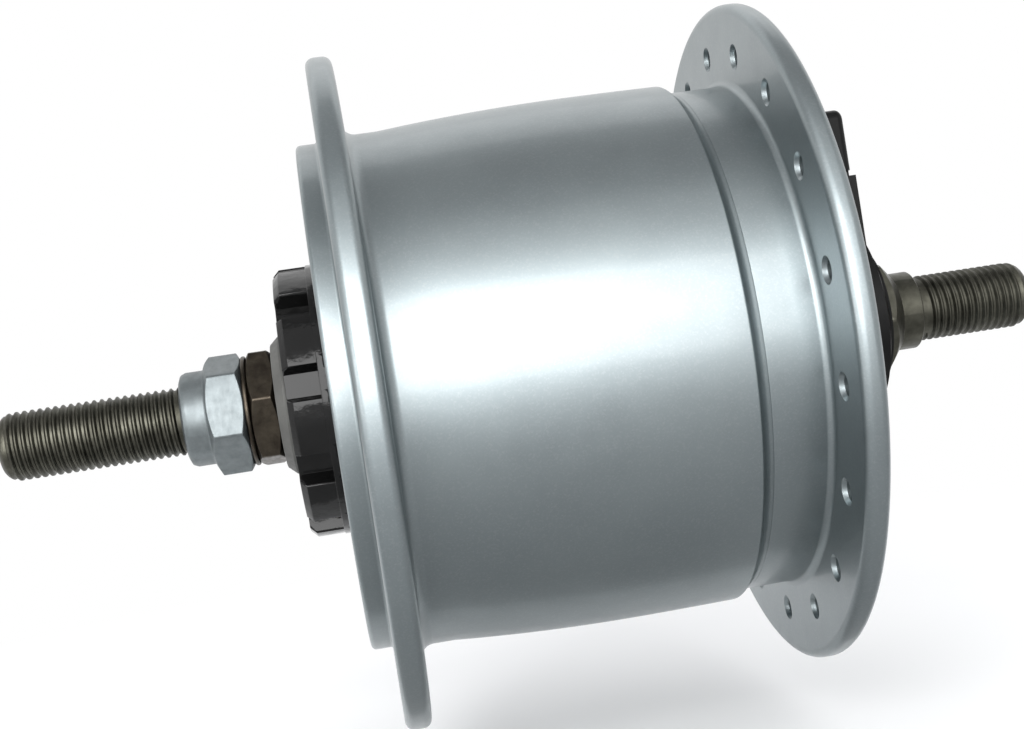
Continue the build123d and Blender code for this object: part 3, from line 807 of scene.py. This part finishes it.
def crownLine(neckY, mouthY):
    # Two arcs that meet at the crown, each level there
    size = shellSizes
    steps = size["crownSteps"]
    points = []
    for index in range(steps * 2 + 1):
        if index <= steps:
            endRadius, endY = size["neckRadius"], neckY
            share = 1 - index / steps
        else:
            endRadius, endY = size["mouthRadius"], mouthY
            share = index / steps - 1
        reach = endY - size["crownY"]
        fall = size["crownRadius"] - endRadius
        arc = (reach ** 2 + fall ** 2) / (2 * fall)
        y = size["crownY"] + reach * share
        points.append((size["crownRadius"] - arc + sqrt(arc ** 2 - (reach * share) ** 2), y))
    return points


def shellMesh():
    size, rounds = shellSizes, shellRounds
    bossY, mouthY = boxSpan("hub_shell")
    flangeOuter = size["flangeInner"] - size["flangeThick"]
    endY = flangeOuter - size["ringHeight"]
    lip = size["ringRadius"] - size["ringLip"]
    dish = size["dishDepth"]
    edgeY = mouthY - size["coveLength"]
    crown = crownLine(size["flangeInner"] + size["neckLength"], edgeY)
    corners = [
        (size["boreRadius"], mouthY, rounds["bore"]),
        (size["boreRadius"], size["wallInner"], 0),
        (size["seatHole"], size["wallInner"], 0),
        (size["seatHole"], size["cupSeat"], 0),
        (size["cupRadius"], size["cupSeat"], 0),
        (size["cupRadius"], bossY, rounds["boss"]),
        (size["bossRadius"], bossY, rounds["boss"]),
        (size["bossRadius"], endY, 0),
        (size["dishInner"], endY, rounds["dishInner"]),
        (size["dishInner"] + dish, endY + dish, rounds["dishFloor"]),
        (lip - dish, endY + dish, rounds["dishFloor"]),
        (lip, endY, rounds["lip"]),
        (size["ringRadius"], endY, size["ringRound"]),
        (size["ringRadius"], flangeOuter, rounds["ringRoot"]),
        (size["flangeRadius"], flangeOuter, size["rimRound"]),
        (size["flangeRadius"], size["flangeInner"], size["rimRound"]),
        (size["neckRadius"], size["flangeInner"], size["rootRound"]),
        *[(radius, y, 0) for radius, y in crown[:-1]],
        (*crown[-1], size["mouthEdgeRound"]),
        # the mouth drops into a small cove that runs out level with the sleeve
        (size["coveRadius"], edgeY + size["coveDrop"], size["coveRound"]),
        (size["coveRadius"] - rounds["coveEnd"], mouthY, rounds["coveEnd"]),
    ]
    line = roundedLine(corners, size["roundSteps"])
    skin = polarMesh("shellSkin", line, ringAngles(size["columns"]))
    phase = spokeSizes["rightPhase"] + 180 / spokeSizes["count"]
    return combined(skin, spokeCutter(flangeOuter, size["flangeInner"], phase), "DIFFERENCE")


addPiece(
    "barrel_and_left_flange", shellMesh(), "hub", "silver_paint", "hub_shell",
    shellSizes["sharpAngle"],
)
print("hub shell made")


# End flange: sleeve, right flange, coned web and bearing boss

endSizes = {
    "sleeveRadius": 33.8,
    "sleeveStart": 23.2,
    "sleeveRound": 0.9,
    "flangeInner": 30.5,
    "flangeOuter": 33.5,
    "spigotRadius": 31.55,
    "spigotWall": 1.8,
    "webEdge": 2.3,
    "webRise": 3.7,
    "webThick": 3.1,
    "cupSeat": 32.34,
    "seatLip": 2.4,
}
endRounds = {
    "spigot": 0.3,
    "web": 0.6,
    "boss": 0.3,
    "cupMouth": 0.15,
    "seatLip": 0.2,
    "webInside": 0.8,
    "webRim": 0.4,
}


def endFlangeMesh():
    size, rounds = endSizes, endRounds
    shell = shellSizes
    spigotY, bossY = boxSpan("end_flange")
    spigotBore = size["spigotRadius"] - size["spigotWall"]
    webTop = size["flangeOuter"] + size["webRise"]
    lipY = size["cupSeat"] - size["seatLip"]
    corners = [
        (spigotBore, spigotY, rounds["spigot"]),
        (size["spigotRadius"], spigotY, rounds["spigot"]),
        (size["spigotRadius"], size["sleeveStart"], 0),
        (size["sleeveRadius"], size["sleeveStart"], 0),
        (size["sleeveRadius"], size["flangeInner"], size["sleeveRound"]),
        (shell["flangeRadius"], size["flangeInner"], shell["rimRound"]),
        (shell["flangeRadius"], size["flangeOuter"], shell["rimRound"]),
        (size["sleeveRadius"] - size["webEdge"], size["flangeOuter"], rounds["web"]),
        (shell["bossRadius"], webTop, rounds["web"]),
        (shell["bossRadius"], bossY, rounds["boss"]),
        (shell["cupRadius"], bossY, rounds["cupMouth"]),
        (shell["cupRadius"], size["cupSeat"], 0),
        (shell["seatHole"], size["cupSeat"], 0),
        (shell["seatHole"], lipY, 0),
        (shell["bossRadius"], lipY, rounds["seatLip"]),
        (shell["bossRadius"], webTop - size["webThick"], rounds["webInside"]),
        (spigotBore, size["flangeOuter"] - size["webThick"], rounds["webRim"]),
    ]
    line = roundedLine(corners, shell["roundSteps"])
    skin = polarMesh("endFlangeSkin", line, ringAngles(shell["columns"]))
    cutters = spokeCutter(size["flangeInner"], size["flangeOuter"], spokeSizes["rightPhase"])
    return combined(skin, cutters, "DIFFERENCE")


addPiece(
    "right_flange_cover", endFlangeMesh(), "hub", "silver_paint", "end_flange",
    shellSizes["sharpAngle"],
)
print("end flange made")


# Brake spline ring: sloped lugs on a plain base

splineSizes = {
    "lugs": 10,
    "topRadius": 17.85,
    "rootRadius": 15.9,
    "baseRadius": 18.0,
    "baseThick": 1.2,
    "bore": 14.45,
    "valleyPhase": 10.0,
    "landShare": 0.56,
    "rootShare": 0.3,
    "flankReach": 1,
    "chamfer": 0.8,
    "chamferSteps": 4,
    "boreChamfer": 0.2,
    "baseEdgeOut": 0.05,
    "baseEdgeRise": 0.12,
    "edgeSoft": 0.26,
    "softAngle": 28,
}
# Columns from the middle of a valley (0) towards the middle of a lug (1), crowded at the flank
columnShares = (
    0, 0.1, 0.2, 0.27, 0.3, 0.32, 0.34, 0.36, 0.38, 0.4, 0.42, 0.44, 0.46, 0.5, 0.6, 0.72, 0.86,
)


def lugRadius(angle):
    # Valley floor, straight flank or land at this angle
    size = splineSizes
    half = pi / size["lugs"]
    away = abs((angle - radians(size["valleyPhase"]) + half) % (2 * half) - half)
    topHalf = half * (1 - size["landShare"])
    rootHalf = half * size["rootShare"]
    rootX = size["rootRadius"] * sin(rootHalf)
    floor = size["rootRadius"] * cos(rootHalf)
    reach = size["topRadius"] + size["flankReach"]
    topX = reach * sin(topHalf)
    onFloor = floor / cos(away)
    if onFloor * sin(away) <= rootX:
        return onFloor
    # the flank runs from (rootX, floor) to (topX, reach)
    run, rise = topX - rootX, reach - floor
    flank = (rootX * rise - floor * run) / (sin(away) * rise - cos(away) * run)
    return min(flank, size["topRadius"]) if flank > 0 else size["topRadius"]


def splineAngles():
    size = splineSizes
    half = pi / size["lugs"]
    angles = []
    for lug in range(size["lugs"]):
        valley = radians(size["valleyPhase"]) + 2 * half * lug
        angles.append(valley + half)
        for share in columnShares:
            angles.append(valley + half * share)
            if share:
                angles.append(valley - half * share)
    return sorted(angle % (2 * pi) for angle in angles)


def splineMesh():
    size = splineSizes
    faceY, endY = boxSpan("brake_spline_ring")
    baseY = endY - size["baseThick"]
    chamferStart = size["topRadius"] - size["chamfer"]
    steps = size["chamferSteps"]

    def chamferRow(share):
        y = faceY + size["chamfer"] * share
        limit = chamferStart + size["chamfer"] * share
        return lambda angle: (min(lugRadius(angle), limit), y)

    rows = [
        (size["bore"], faceY + size["boreChamfer"]),
        (size["bore"] + size["boreChamfer"], faceY),
        *[chamferRow(step / steps) for step in range(steps + 1)],
        lambda angle: (lugRadius(angle), baseY),
        (size["baseRadius"] - size["baseEdgeOut"], baseY),
        (size["baseRadius"], baseY + size["baseEdgeRise"]),
        (size["baseRadius"], endY),
        (size["bore"], endY),
    ]
    mesh = polarMesh("splineSkin", rows, splineAngles())
    return softenEdges(mesh, size["edgeSoft"], size["softAngle"])


addPiece("splined_brake_ring", splineMesh(), "hub", "black_spline", "brake_spline_ring")
print("spline ring made")


# Connector cap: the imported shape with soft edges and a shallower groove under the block

capSizes = {
    "edgeRound": 0.25,
    "edgeSteps": 3,
    "softAngle": 40,
    "grooveLow": 18.8,
    "grooveHigh": 19.7,
    "packedDepth": 0.8,
    "shownDepth": 0.2,
    "fillHalfWidth": 7.0,
    "fillOverlap": 0.05,
}


def capMesh():
    size = capSizes
    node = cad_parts["connector_cap"]
    bm = bmesh.new()
    bm.from_mesh(node.data)
    bm.transform(node.matrix_world)
    faceY = max(vert.co.y for vert in bm.verts if vert.co.z > size["grooveHigh"] * mm) / mm
    skin = finishMesh(bm, "capSkin")
    softenEdges(skin, size["edgeRound"], size["softAngle"], size["edgeSteps"])
    # the fill stops short of the block's rounded sides
    half, overlap = size["fillHalfWidth"], size["fillOverlap"]
    fill = boxMesh(
        (-half, faceY - size["packedDepth"] - overlap, size["grooveLow"] - overlap),
        (half, faceY - size["shownDepth"], size["grooveHigh"] + overlap),
    )
    return combined(skin, fill, "UNION")


addPiece("plug_cap", capMesh(), "axle_assembly", "black_plastic", "connector_cap")
print("connector cap made")


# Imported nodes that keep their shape, each with the slot of its finish

packedSlots = {
    "cone_lock_nut": "dark_steel",
    "slotted_spacer": "dark_steel",
    "stator_nuts": "dark_steel",
    "right_dust_seal": "grey_seal",
    "right_cone": "bearing_steel",
    "left_ball_cup": "bearing_steel",
    "right_ball_cup": "bearing_steel",
    "left_dust_cap": "dust_cap_steel",
    "right_dust_cap": "dust_cap_steel",
    "left_ball_cage": "dust_cap_steel",
    "right_ball_cage": "dust_cap_steel",
    "left_balls": "ball_steel",
    "right_balls": "ball_steel",
    "stator_core": "stator_steel",
    "stator_washers": "stator_steel",
    "left_claw_plate": "stator_steel",
    "right_claw_plate": "stator_steel",
    "magnet_yoke": "stator_steel",
    "magnet_segments": "ferrite",
    "coil_bobbin": "bobbin_plastic",
    "coil_winding": "copper_wire",
    "live_terminal": "terminal_brass",
    "earth_terminal": "terminal_brass",
    "lead": "lead_sleeve",
}
for nodeName, slotName in packedSlots.items():
    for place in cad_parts[nodeName].material_slots:
        place.link = "OBJECT"
        place.material = finishes[slotName]
print("packed nodes finished")


# Studio: white surroundings for the camera, softboxes for the metal and grey cards that paint dark
# reflections into it. Lengths are in metres here.

studio = {
    "worldGrey": 0.95,
    "worldTint": (1, 1.01, 1.03),
    "floorDrop": 0.052,
    "floorGrey": 0.88,
    "floorRough": 0.8,
    "floorReach": 6.0,
    "fadeStart": 0.08,
    "fadeEnd": 0.24,
    "cardRough": 0.9,
}


def seenDirectly(tree):
    # One where the camera, a gloss or glass looks at the surface
    paths = addNode(tree, "ShaderNodeLightPath")
    seen = paths.outputs["Is Camera Ray"]
    for ray in ("Is Glossy Ray", "Is Transmission Ray"):
        seen = addNode(
            tree, "ShaderNodeMath", {0: seen, 1: paths.outputs[ray]}, operation="MAXIMUM"
        ).outputs["Value"]
    return seen


def buildWorld():
    world = bpy.data.worlds.new("studioWorld")
    world.use_nodes = True
    tree = world.node_tree
    plain = tree.nodes["Background"]
    tinted = [studio["worldGrey"] * share for share in studio["worldTint"]]
    plain.inputs["Color"].default_value = (*tinted, 1)
    white = addNode(tree, "ShaderNodeBackground", {"Color": (1, 1, 1, 1), "Strength": 1.0})
    mix = addNode(
        tree, "ShaderNodeMixShader",
        {0: seenDirectly(tree), 1: plain.outputs["Background"], 2: white.outputs["Background"]},
    )
    tree.links.new(mix.outputs["Shader"], tree.nodes["World Output"].inputs["Surface"])
    bpy.context.scene.world = world


def stageMaterial():
    # Pale floor that takes the shadow near the object and fades to white farther out
    material, tree, shader = newMaterial("paleStage")
    grey = studio["floorGrey"]
    shader.inputs["Base Color"].default_value = (grey, grey, grey, 1)
    shader.inputs["Roughness"].default_value = studio["floorRough"]
    shader.inputs["Specular IOR Level"].default_value = 0.0
    away = addNode(tree, "ShaderNodeVectorMath", {0: objectCoords(tree)}, operation="LENGTH")
    fade = remap(tree, away.outputs["Value"], studio["fadeStart"], studio["fadeEnd"], 0, 1)
    share = addNode(tree, "ShaderNodeMath", {0: seenDirectly(tree), 1: fade}, operation="MULTIPLY")
    white = addNode(tree, "ShaderNodeEmission", {"Color": (1, 1, 1, 1), "Strength": 1.0})
    mix = addNode(
        tree, "ShaderNodeMixShader",
        {0: share.outputs["Value"], 1: shader.outputs["BSDF"], 2: white.outputs["Emission"]},
    )
    tree.links.new(mix.outputs["Shader"], tree.nodes["Material Output"].inputs["Surface"])
    return material


def addPlane(name, centre, sizeX, sizeY, material, facing=(0, 0, 1)):
    bm = bmesh.new()
    halfX, halfY = sizeX / 2, sizeY / 2
    corners = [(-halfX, -halfY), (halfX, -halfY), (halfX, halfY), (-halfX, halfY)]
    bm.faces.new([bm.verts.new((x, y, 0)) for x, y in corners])
    mesh = meshFrom(bm, name)
    mesh.materials.append(material)
    plane = addObject(name, mesh)
    plane.rotation_mode = "QUATERNION"
    plane.rotation_quaternion = Vector(facing).to_track_quat("Z", "Y")
    plane.location = centre
    return plane


lights = {
    # name: (place, aim, width, height, power in W)
    "frontTop": ((0.46, -0.09, 0.14), (0, 0, 0), 0.56, 0.36, 3.6),
    "overhead": ((-0.3, 0.0, 0.55), (0, 0, 0), 0.7, 0.4, 0.35),
    "leftSide": ((0.3, -0.6, 0.02), (0, 0, 0), 0.3, 0.3, 1.2),
}


def addLight(name, place, aim, width, height, power):
    lamp = bpy.data.lights.new(name, "AREA")
    lamp.shape = "RECTANGLE"
    lamp.size, lamp.size_y = width, height
    lamp.energy = power
    holder = addObject(name, lamp)
    holder.location = place
    holder.rotation_mode = "QUATERNION"
    holder.rotation_quaternion = (Vector(aim) - Vector(place)).to_track_quat("-Z", "Y")


# Painted dark reflections: cards that darken the shine at the top and the bottom of the barrel
darkReflectionCards = {
    # name: (centre, size along X, size along Y, facing, grey)
    "darkReflectionAbove": ((0.02, 0.0, 0.6), 0.5, 1.4, (0, 0, -1), 0.3),
    "darkReflectionBelow": ((0.2, 0.0, -0.05), 0.38, 0.9, (0, 0, 1), 0.42),
}


def addReflectionCard(name, centre, sizeX, sizeY, facing, grey):
    # Grey card that only shows in the shine of the metal: a painted dark reflection, which the camera
    # never sees and which casts no shadow
    material, tree, shader = newMaterial(name)
    shader.inputs["Base Color"].default_value = (grey, grey, grey, 1)
    shader.inputs["Roughness"].default_value = studio["cardRough"]
    card = addPlane(name, centre, sizeX, sizeY, material, facing)
    card.visible_camera = False
    card.visible_diffuse = False
    card.visible_transmission = False
    card.visible_shadow = False


buildWorld()
floorCentre = (0, 0, -studio["floorDrop"])
floor = addPlane(
    "floor", floorCentre, studio["floorReach"], studio["floorReach"], stageMaterial()
)
for darkReflectionName, darkReflectionValues in darkReflectionCards.items():
    addReflectionCard(darkReflectionName, *darkReflectionValues)
for lightName, lightValues in lights.items():
    addLight(lightName, *lightValues)

# Camera fitted to the photo; its axes are given in the part's frame, its sensor and lens in mm
photoCamera = {
    "place": (0.19936, -0.02318, 0.00083),
    "right": (0.10305, 0.98311, -0.15125),
    "upward": (0.01577, 0.15043, 0.98849),
    "backward": (0.99455, -0.10425, 0.0),
    "lens": 52.18,
    "sensorWidth": 36.0,
    "clipStart": 0.005,
}
cameraData = bpy.data.cameras.new("photoView")
cameraData.sensor_width = photoCamera["sensorWidth"]
cameraData.lens = photoCamera["lens"]
cameraData.clip_start = photoCamera["clipStart"]
camera = addObject("photoView", cameraData)
axes = Matrix([photoCamera[name] for name in ("right", "upward", "backward")]).transposed()
camera.matrix_world = Matrix.Translation(photoCamera["place"]) @ axes.to_4x4()
bpy.context.scene.camera = camera
bpy.context.scene.view_settings.view_transform = "Standard"
print("studio ready")
